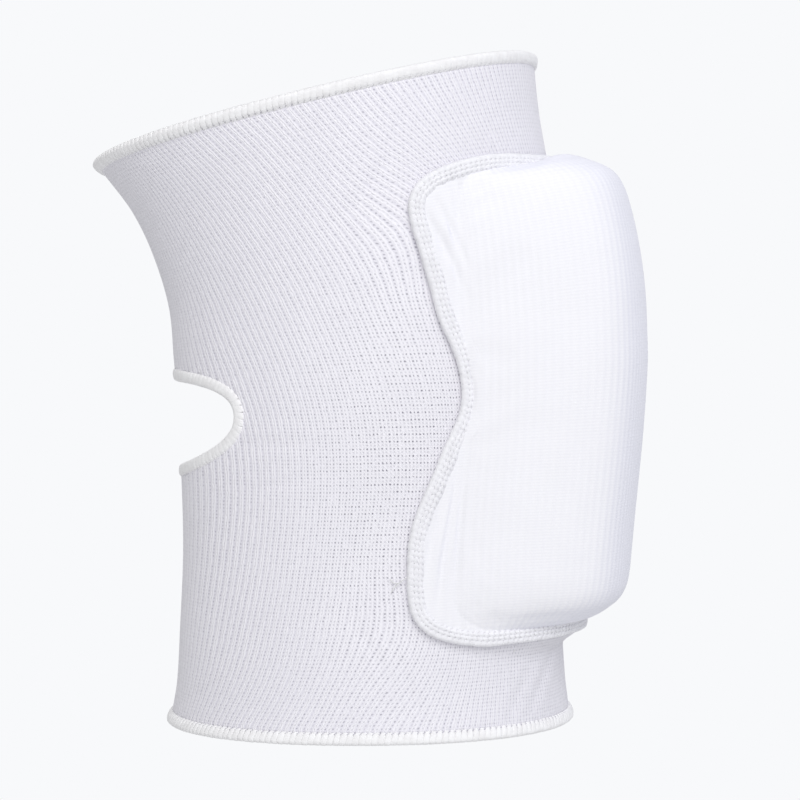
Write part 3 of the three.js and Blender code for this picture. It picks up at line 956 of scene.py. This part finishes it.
def tube(path, wide, deep, sides, closed):
    """Rings of points round a path that runs across X, and the faces between them."""
    count = len(path)
    if closed:
        ahead = unit(np.roll(path, -1, axis=0) - np.roll(path, 1, axis=0))
    else:
        ahead = unit(np.gradient(path, axis=0))
    side = np.broadcast_to(np.array([1.0, 0, 0]), path.shape)
    side = unit(side - ahead * (ahead * side).sum(axis=1, keepdims=True))
    other = np.cross(ahead, side)
    turn = np.arange(sides) / sides * 2 * math.pi
    points = path[:, None] + (
        side[:, None] * (np.cos(turn)[None] * np.broadcast_to(wide, count)[:, None])[..., None]
        + other[:, None] * (np.sin(turn)[None] * np.broadcast_to(deep, count)[:, None])[..., None]
    )
    faces = []
    for i in range(count if closed else count - 1):
        for j in range(sides):
            k, m = (i + 1) % count, (j + 1) % sides
            faces.append((i * sides + j, i * sides + m, k * sides + m, k * sides + j))
    if not closed:
        faces.append(tuple(range(sides)))
        faces.append(tuple((count - 1) * sides + j for j in reversed(range(sides))))
    return points.reshape(-1, 3), faces


def face_outward(piece):
    work = bmesh.new()
    work.from_mesh(piece.data)
    bmesh.ops.recalc_face_normals(work, faces=work.faces)
    work.to_mesh(piece.data)
    work.free()
    piece.data.shade_smooth()


def stitch_mesh(name, pitch, width, thickness, fullness, pinch, needle_rows, rings):
    """A stitch: X runs along the edge, Y away from the cloth and Z out of it."""
    face_turns = np.arccos(np.sign(rings) * np.abs(rings) ** (1 / SQUARENESS))
    turn = np.concatenate([face_turns, np.radians(BACK_TURNS)])
    away, out = edge_section(turn, width - 2 * YARN_DEPTH, thickness - 2 * YARN_DEPTH)
    share = away / (width / 2 - YARN_DEPTH)
    front = np.maximum(np.sin(turn), 0)
    pinched = sum(np.exp(-(((share - row) / PINCH_REACH) ** 2)) for row in needle_rows) * front
    wide = pitch * (fullness + SWELL * (share - 1) * front - pinch * pinched)
    slant = np.interp(share, [-1, 1], [-SLANT, SLANT]) * pitch
    sunk = -SINK * YARN_DEPTH * pinched
    path = np.stack([slant, away + np.cos(turn) * sunk, out + np.sin(turn) * sunk], axis=1)
    points, faces = tube(path, wide, YARN_DEPTH, YARN_SIDES, True)
    stitch = new_piece(name, points, faces)
    face_outward(stitch)
    return stitch


# %% [markdown]
# ## The node tree that sews
# The tree takes the edge's middle line as a mesh, turns it into a curve and cuts it into equal
# steps of one stitch. A copy of the stitch goes on each step, turned by the two directions that
# the line carries, and a seeded random number makes each a little fatter or thinner, as real yarn
# is. Realize Instances makes it all one mesh.

# %% The sewing tree
def vector_calc(tree, operation, *values):
    """A Vector Math node's result."""
    return put(tree, "ShaderNodeVectorMath", values, operation=operation).outputs[0]


def fill_named(tree, node, **values):
    """Fills a node's sockets by their names, and returns its outputs."""
    fill(tree, [node.inputs[name] for name in values], values.values())
    return node.outputs


def sewing_tree():
    tree = bpy.data.node_groups.new("sew_edge", "GeometryNodeTree")
    for label, kind in (
        ("Geometry", "Geometry"),
        ("Stitch", "Object"),
        ("Pitch", "Float"),
        ("Unevenness", "Float"),
        ("Seed", "Int"),
        ("Thread", "Material"),
    ):
        tree.interface.new_socket(label, in_out="INPUT", socket_type="NodeSocket" + kind)
    tree.interface.new_socket("Geometry", in_out="OUTPUT", socket_type="NodeSocketGeometry")
    given = tree.nodes.new("NodeGroupInput").outputs
    line = put(tree, "GeometryNodeMeshToCurve", (given["Geometry"],)).outputs[0]
    length = put(tree, "GeometryNodeCurveLength", (line,)).outputs[0]
    count = calc(tree, "DIVIDE", length, given["Pitch"])
    resample = put(tree, "GeometryNodeResampleCurve", mode="COUNT")
    steps = fill_named(tree, resample, Curve=line, Count=count)[0]
    away, out = (
        put(tree, "GeometryNodeInputNamedAttribute", (key,), data_type="FLOAT_VECTOR").outputs[0]
        for key in ("away", "out")
    )
    turn = put(tree, "FunctionNodeAxesToRotation", (out, away), primary_axis="Z", secondary_axis="Y")
    # Mostly the yarn's width is uneven, which is the stitch's size along the edge
    extremes = ((-1, -0.25, -0.25), (1, 0.25, 0.25))
    chance = put(tree, "FunctionNodeRandomValue", extremes, data_type="FLOAT_VECTOR")
    chance = fill_named(tree, chance, Seed=given["Seed"])[0]
    spread = vector_calc(tree, "SCALE", chance, None, None, given["Unevenness"])
    size = vector_calc(tree, "ADD", spread, (1, 1, 1))
    stitch = put(tree, "GeometryNodeObjectInfo", (given["Stitch"],), transform_space="ORIGINAL")
    sewn = fill_named(
        tree,
        put(tree, "GeometryNodeInstanceOnPoints"),
        Points=steps,
        Instance=stitch.outputs["Geometry"],
        Rotation=turn.outputs[0],
        Scale=size,
    )[0]
    real = put(tree, "GeometryNodeRealizeInstances", (sewn,)).outputs[0]
    covered = fill_named(
        tree, put(tree, "GeometryNodeSetMaterial"), Geometry=real, Material=given["Thread"]
    )[0]
    put(tree, "NodeGroupOutput", (covered,))
    return tree


def sew(name, line, stitch, pitch, seed, thread):
    """Sews stitches along a closed line and returns them as one plain mesh object."""
    middle, away, out = line
    guide_mesh = bpy.data.meshes.new(name)
    count = len(middle)
    loop = [(i, (i + 1) % count) for i in range(count)]
    guide_mesh.from_pydata(middle.tolist(), loop, [])
    for key, vectors in (("away", away), ("out", out)):
        attribute = guide_mesh.attributes.new(key, "FLOAT_VECTOR", "POINT")
        attribute.data.foreach_set("vector", vectors.astype(np.float32).ravel())
    piece = bpy.data.objects.new(name, guide_mesh)
    bpy.context.scene.collection.objects.link(piece)
    sewing = piece.modifiers.new("sewing", "NODES")
    sewing.node_group = SEWING
    values = {"Stitch": stitch, "Pitch": pitch, "Unevenness": 0.08, "Seed": seed, "Thread": thread}
    for item in SEWING.interface.items_tree:
        if item.in_out == "INPUT" and item.name in values:
            sewing[item.identifier] = values[item.name]
    finish_mesh(piece)
    piece.data.shade_smooth()
    return piece


# %% [markdown]
# ## Patterns for the materials
# Three effects are shader groups: the loops of the knit, the fine cross lines of the ribbed cover
# and the fluff of the sewing yarn. The first two read the piece's own map of its cloth, so the
# pattern bends with the cloth. The knit is pairs of stitch columns with a furrow between them, and
# as it is stretched the columns give way to a net of crossing strands with rows of holes. An image
# of real knit would be quicker, but it would repeat, and it couldn't open where the cloth does.
# Each group gives only heights and masks, and the material mixes them, painting shade into the knit's
# furrows, the ground between its strands and its holes, and into the cover's rib valleys and lines.

# %% Shader helpers
def group_tree(name, inputs, outputs):
    """A shader group with named number and vector sockets."""
    tree = bpy.data.node_groups.new(name, "ShaderNodeTree")
    for label, kind, value in inputs:
        socket = tree.interface.new_socket(label, in_out="INPUT", socket_type=kind)
        if value is not None:
            socket.default_value = value
    for label, kind in outputs:
        tree.interface.new_socket(label, in_out="OUTPUT", socket_type=kind)
    return tree, tree.nodes.new("NodeGroupInput").outputs, tree.nodes.new("NodeGroupOutput").inputs


def ramp(tree, value, low, high):
    """A smooth rise from 0 to 1 between two values."""
    return put(
        tree, "ShaderNodeMapRange", (value, low, high, 0.0, 1.0), interpolation_type="SMOOTHSTEP"
    ).outputs[0]


def centred(tree, value):
    """0 in the middle of each whole step and 1 at its ends."""
    part = calc(tree, "FRACT", value)
    return calc(tree, "MULTIPLY", calc(tree, "ABSOLUTE", calc(tree, "SUBTRACT", part, 0.5)), 2.0)


def noise(tree, place, fineness, detail):
    """A Noise Texture's outputs."""
    return put(tree, "ShaderNodeTexNoise", (place, None, fineness, detail)).outputs


# %% The knit's loops
FLOAT, VECTOR = "NodeSocketFloat", "NodeSocketVector"


def knit_group():
    tree, given, result = group_tree(
        "knit_loops",
        [
            ("Cloth", VECTOR, None),
            ("Place", VECTOR, None),
            ("Stretch", FLOAT, 0.5),
            ("Waver", FLOAT, 0.1),
        ],
        [("Height", FLOAT), ("Strand", FLOAT), ("Furrow", FLOAT), ("Hole", FLOAT), ("Patch", FLOAT)],
    )
    # The stitches wander a little: slowly over the cloth, and more from one to the next
    wide = noise(tree, given["Place"], 90.0, 2.0)
    fine = noise(tree, given["Place"], 700.0, 1.0)
    shift = vector_calc(tree, "SUBTRACT", wide["Color"], (0.5, 0.5, 0.5))
    twitch = vector_calc(tree, "SUBTRACT", fine["Color"], (0.5, 0.5, 0.5))
    both = vector_calc(tree, "MULTIPLY_ADD", twitch, (2.5, 2.5, 0), shift)
    drawn = vector_calc(tree, "SCALE", both, None, None, given["Waver"])
    moved = vector_calc(tree, "ADD", given["Cloth"], drawn)
    parts = put(tree, "ShaderNodeSeparateXYZ", (moved,)).outputs
    pair = centred(tree, parts[0])
    row = centred(tree, parts[1])
    second_row = centred(tree, calc(tree, "MULTIPLY_ADD", parts[1], 0.5, 0.25))
    # The two columns of a pair, which move apart and fade as the knit is stretched
    apart = calc(tree, "MULTIPLY_ADD", given["Stretch"], 0.2, 0.27)
    apart = calc(tree, "MULTIPLY_ADD", row, 0.07, apart)
    off = calc(tree, "ABSOLUTE", calc(tree, "SUBTRACT", pair, apart))
    column = calc(tree, "SUBTRACT", 1.0, ramp(tree, off, 0.05, 0.27))
    column = calc(tree, "MULTIPLY", column, calc(tree, "MULTIPLY_ADD", given["Stretch"], -0.5, 1.0))
    # The net of crossing strands that takes their place
    rising = centred(tree, calc(tree, "MULTIPLY_ADD", parts[0], 2.0, parts[1]))
    falling = centred(tree, calc(tree, "MULTIPLY_ADD", parts[0], -2.0, parts[1]))
    net = ramp(tree, calc(tree, "MAXIMUM", rising, falling), 0.5, 0.95)
    strand = calc(tree, "MAXIMUM", column, calc(tree, "MULTIPLY", net, given["Stretch"]))
    # The furrow between the pairs, a mask for painted shade that fades as the knit is stretched
    tight = calc(tree, "MULTIPLY_ADD", given["Stretch"], -0.95, 1.0)
    furrow = calc(tree, "MULTIPLY", ramp(tree, pair, 0.5, 0.85), tight)
    # Small holes between the columns of a pair and large ones between the pairs, row by row
    small = calc(tree, "SUBTRACT", 1.0, ramp(tree, pair, 0.02, 0.24))
    small = calc(tree, "MULTIPLY", small, calc(tree, "MULTIPLY_ADD", given["Stretch"], 0.5, 0.5))
    large = ramp(tree, pair, 0.7, 0.94)
    holes = calc(tree, "ADD", small, large)
    opened = calc(tree, "SUBTRACT", 1.0, ramp(tree, row, 0.15, 0.65))
    weaker = calc(tree, "MULTIPLY", given["Stretch"], ramp(tree, second_row, 0.35, 0.65))
    opened = calc(tree, "MULTIPLY", opened, calc(tree, "MULTIPLY_ADD", weaker, -0.65, 1.0))
    opened = calc(tree, "MULTIPLY", opened, calc(tree, "MULTIPLY_ADD", given["Stretch"], 0.55, 0.45))
    uneven = ramp(tree, fine["Fac"], 0.2, 0.6)
    hole = calc(tree, "MULTIPLY", calc(tree, "MULTIPLY", holes, opened), uneven)
    tree.links.new(calc(tree, "SUBTRACT", strand, hole), result["Height"])
    tree.links.new(strand, result["Strand"])
    tree.links.new(furrow, result["Furrow"])
    tree.links.new(hole, result["Hole"])
    tree.links.new(wide["Fac"], result["Patch"])
    return tree


KNIT = knit_group()


def rib_group():
    tree, given, result = group_tree(
        "rib_cloth",
        [("Cloth", VECTOR, None), ("Place", VECTOR, None)],
        [("Height", FLOAT), ("Valley", FLOAT), ("Line", FLOAT), ("Patch", FLOAT)],
    )
    parts = put(tree, "ShaderNodeSeparateXYZ", (given["Cloth"],)).outputs
    valley = centred(tree, calc(tree, "ADD", parts[0], 0.5))
    fine = centred(tree, calc(tree, "MULTIPLY", parts[0], 3.0))
    line = centred(tree, parts[1])
    wide = noise(tree, given["Place"], 70.0, 3.0)["Fac"]
    fluff = noise(tree, given["Place"], 2600.0, 2.0)["Fac"]
    height = calc(tree, "MULTIPLY_ADD", line, -0.55, calc(tree, "MULTIPLY", fine, -0.15))
    height = calc(tree, "MULTIPLY_ADD", fluff, 0.8, height)
    deep = calc(tree, "SUBTRACT", 1.0, ramp(tree, valley, 0.0, 0.75))
    tree.links.new(height, result["Height"])
    tree.links.new(deep, result["Valley"])
    tree.links.new(line, result["Line"])
    tree.links.new(wide, result["Patch"])
    return tree


RIBS = rib_group()


def yarn_group():
    tree, given, result = group_tree(
        "yarn_fluff",
        [("Place", VECTOR, None), ("Fineness", FLOAT, 1.0)],
        [("Height", FLOAT), ("Shade", FLOAT)],
    )
    size = calc(tree, "MULTIPLY", given["Fineness"], 1500.0)
    fibres = noise(tree, given["Place"], size, 3.0)["Fac"]
    clumps = noise(tree, given["Place"], 420.0, 2.0)["Fac"]
    tree.links.new(fibres, result["Height"])
    tree.links.new(clumps, result["Shade"])
    return tree


YARN = yarn_group()

# %% The materials
KNIT_COLOR = (0.96, 0.945, 0.985, 1)
# The ground between the strands, the furrows between the pairs of columns and the holes are painted
# darker as shade
KNIT_BETWEEN_SHADE = (0.88, 0.865, 0.92, 1)
KNIT_FURROW_SHADE = (0.775, 0.76, 0.825, 1)
KNIT_SHADE = (0.2, 0.19, 0.24, 1)
KNIT_FAR = (0.875, 0.86, 0.905, 1)
COVER_COLOR = (0.935, 0.93, 0.955, 1)
COVER_SHADE = (0.78, 0.775, 0.86, 1)
# Painted shade, darker and cooler, where the cover turns away from view
COVER_GRAZING_SHADE = (0.90, 0.90, 0.965, 1)
HEM_COLOR, HEM_SHADE = (0.95, 0.945, 0.95, 1), (0.895, 0.885, 0.89, 1)
SEAM_COLOR, SEAM_SHADE = (0.92, 0.915, 0.945, 1), (0.865, 0.86, 0.89, 1)
# The bodies of the edges, which show between the yarns, are painted darker as shade
HEM_GAP_SHADE, SEAM_GAP_SHADE = (0.5, 0.48, 0.56, 1), (0.78, 0.765, 0.81, 1)


def new_cloth(name, roughness, sheen, sheen_roughness):
    """A material with one cloth shader, and its tree."""
    made = bpy.data.materials.new(name)
    made.use_nodes = True
    tree = made.node_tree
    shader = tree.nodes["Principled BSDF"]
    shader.inputs["Roughness"].default_value = roughness
    shader.inputs["Sheen Weight"].default_value = sheen
    shader.inputs["Sheen Roughness"].default_value = sheen_roughness
    shader.inputs["Specular IOR Level"].default_value = 0.2
    return made, tree, shader


def use_group(tree, group, **values):
    """Places a shader group and fills its named inputs."""
    return fill_named(tree, put(tree, "ShaderNodeGroup", node_tree=group), **values)


def bump(tree, shader, height, strength, distance):
    """Lets a height turn the shader's normal."""
    made = put(tree, "ShaderNodeBump")
    outputs = fill_named(tree, made, Height=height, Strength=strength, Distance=distance)
    tree.links.new(outputs[0], shader.inputs["Normal"])


def knit_material():
    made, tree, shader = new_cloth("elastic_knit", 0.92, 0.25, 0.5)
    cloth = put(tree, "ShaderNodeUVMap", uv_map="cloth").outputs[0]
    place = put(tree, "ShaderNodeTexCoord").outputs["Object"]
    stretch = put(tree, "ShaderNodeAttribute", attribute_name="stretch").outputs["Fac"]
    knit = use_group(tree, KNIT, Cloth=cloth, Place=place, Stretch=stretch, Waver=0.12)
    patch = ramp(tree, knit["Patch"], 0.3, 0.7)
    tone = mix(tree, patch, (0.93, 0.915, 0.96, 1), KNIT_COLOR)
    # Painted shade: the ground between the strands is darker, most in the furrows, and the holes darker
    # still
    ground = mix(tree, knit["Furrow"], KNIT_BETWEEN_SHADE, KNIT_FURROW_SHADE)
    woven = mix(tree, knit["Strand"], ground, tone)
    color = mix(tree, knit["Hole"], woven, KNIT_SHADE)
    turned_away = put(tree, "ShaderNodeLayerWeight", (0.5,)).outputs["Facing"]
    color = mix(tree, calc(tree, "MULTIPLY", ramp(tree, turned_away, 0.3, 0.9), 0.6), color, KNIT_FAR)
    tree.links.new(color, shader.inputs["Base Color"])
    bump(tree, shader, knit["Height"], 0.6, 0.0002)
    return made


def cover_material():
    made, tree, shader = new_cloth("ribbed_cover", 0.85, 0.2, 0.4)
    cloth = put(tree, "ShaderNodeUVMap", uv_map="cloth").outputs[0]
    place = put(tree, "ShaderNodeTexCoord").outputs["Object"]
    ribs = use_group(tree, RIBS, Cloth=cloth, Place=place)
    patch = ramp(tree, ribs["Patch"], 0.3, 0.7)
    tone = mix(tree, patch, (0.92, 0.915, 0.94, 1), COVER_COLOR)
    # Painted shade: the cover turns darker and cooler where it faces away from view, and its rib valleys
    # and cross lines are darker, the valleys more so there
    turned_away = ramp(tree, put(tree, "ShaderNodeLayerWeight", (0.5,)).outputs["Facing"], 0.1, 0.7)
    tone = mix(tree, turned_away, tone, COVER_GRAZING_SHADE)
    deep = calc(tree, "MULTIPLY", ribs["Valley"], calc(tree, "MULTIPLY_ADD", turned_away, 0.16, 0.06))
    share = calc(tree, "MULTIPLY_ADD", ribs["Line"], 0.18, deep)
    tree.links.new(mix(tree, share, tone, COVER_SHADE), shader.inputs["Base Color"])
    bump(tree, shader, ribs["Height"], 0.6, 0.00012)
    return made


def yarn_material(name, color, shade, deep):
    made, tree, shader = new_cloth(name, 0.9, 0.3, 0.5)
    place = put(tree, "ShaderNodeTexCoord").outputs["Object"]
    yarn = use_group(tree, YARN, Place=place, Fineness=1.2)
    share = ramp(tree, yarn["Shade"], 0.3, 0.7)
    thread = mix(tree, share, shade, color)
    # Painted shade on the edge's body where it shows between the yarns
    inside = put(tree, "ShaderNodeAttribute", attribute_name="gap").outputs["Fac"]
    tree.links.new(mix(tree, inside, thread, deep), shader.inputs["Base Color"])
    bump(tree, shader, yarn["Height"], 0.9, 0.0002)
    return made


elastic_knit = knit_material()
ribbed_cover = cover_material()
hem_yarn = yarn_material("hem_yarn", HEM_COLOR, HEM_SHADE, HEM_GAP_SHADE)
seam_yarn = yarn_material("seam_yarn", SEAM_COLOR, SEAM_SHADE, SEAM_GAP_SHADE)
sleeve.data.materials.append(elastic_knit)
cover.data.materials.append(ribbed_cover)

# %% [markdown]
# ## Sewing the edges
# The hems have a stitch every two millimetres, fat and slanted, and pinched in one row where they
# leave the knit. The binding of the hole is smoother. The pad's seam goes through more cloth: its
# yarns are pressed flat, and three rows of needle holes tie them down. Some thread ends were left
# loose where its sewing starts and stops.

# %% Sew
SEWING = sewing_tree()
# Where the rings of a stitch lie on the edge's face, as shares of its half width
ONE_ROW = (-0.97, -0.88, -0.76, -0.5, -0.15, 0.25, 0.6, 0.88)
THREE_ROWS = (-0.9, -0.7, -0.5, -0.35, -0.2, -0.05, 0.2, 0.35, 0.5, 0.85)
# Pitch, half width of the yarn and how much it is pinched, both as shares of the pitch,
# then where the needle rows lie, the rings, and a seed
STITCHES = {
    "thigh_hem": (1.95 * MM, 0.82, 0.56, (-0.82,), ONE_ROW, 3),
    "calf_hem": (1.95 * MM, 0.7, 0.48, (-0.82,), ONE_ROW, 5),
    "hollow_binding": (1.9 * MM, 0.9, 0.5, (-0.9,), ONE_ROW, 7),
    "pad_seam": (1.8 * MM, 0.95, 0.66, (-0.7, -0.2, 0.35), THREE_ROWS, 11),
}
sewn_pieces = {}
for name, (pitch, fullness, pinch, needle_rows, rings, seed) in STITCHES.items():
    body, line = edge_bodies[name]
    width, thickness = EDGES[name][1:3]
    pattern = stitch_mesh(
        name + "_pattern", pitch, width, thickness, fullness, pinch, needle_rows, np.array(rings)
    )
    yarn = seam_yarn if name == "pad_seam" else hem_yarn
    sewn = sew(name + "_stitches", line, pattern, pitch, seed, yarn)
    bpy.data.objects.remove(pattern)
    body.data.materials.append(yarn)
    sewn_pieces[name] = sewn
    print(sewn.name, count_triangles(sewn), "triangles")

# %% The loose thread ends
THREAD = 0.16 * MM
# Places off the sleeve that each thread goes through: distance round, height and lift
THREAD_ENDS = (
    ((-74, -40, 1.5), (-76.5, -41.2, 1.5), (-78.2, -42.6, 1.1), (-79.8, -42.4, 0.8), (-81, -41, 0.9)),
    ((-78.2, -42.6, 1.1), (-79.6, -44, 0.9), (-80.4, -45.6, 0.7)),
    ((-38, -61, 1.6), (-37.6, -64.5, 1.9), (-38.6, -67, 0.9), (-40.2, -68.4, 0.7)),
)
work = bmesh.new()
work.from_mesh(sewn_pieces["pad_seam"].data)
for places in THREAD_ENDS:
    distance, height, lift = np.array(places).T * MM
    fine = np.linspace(0, len(places) - 1, 4 * len(places))
    distance, height, lift = (np.interp(fine, range(len(places)), v) for v in (distance, height, lift))
    level = level_of(height)
    path = off_sleeve(angle_at(level, distance, 0), level, lift)
    points, faces = tube(path, THREAD, THREAD, YARN_SIDES, False)
    corners = [work.verts.new(point) for point in points]
    for face in faces:
        work.faces.new([corners[i] for i in face]).smooth = True
bmesh.ops.recalc_face_normals(work, faces=work.faces)
work.to_mesh(sewn_pieces["pad_seam"].data)
work.free()

# %% [markdown]
# ## Joining the model
# Each piece rides on the one body of the frame and takes the place of its CAD solid.

for name, (body, line) in edge_bodies.items():
    for piece in (body, sewn_pieces[name]):
        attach(piece, "root")
    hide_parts(EDGES[name][3])
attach(sleeve, "root")
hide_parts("sleeve")
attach(cover, "root")
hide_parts("pad")
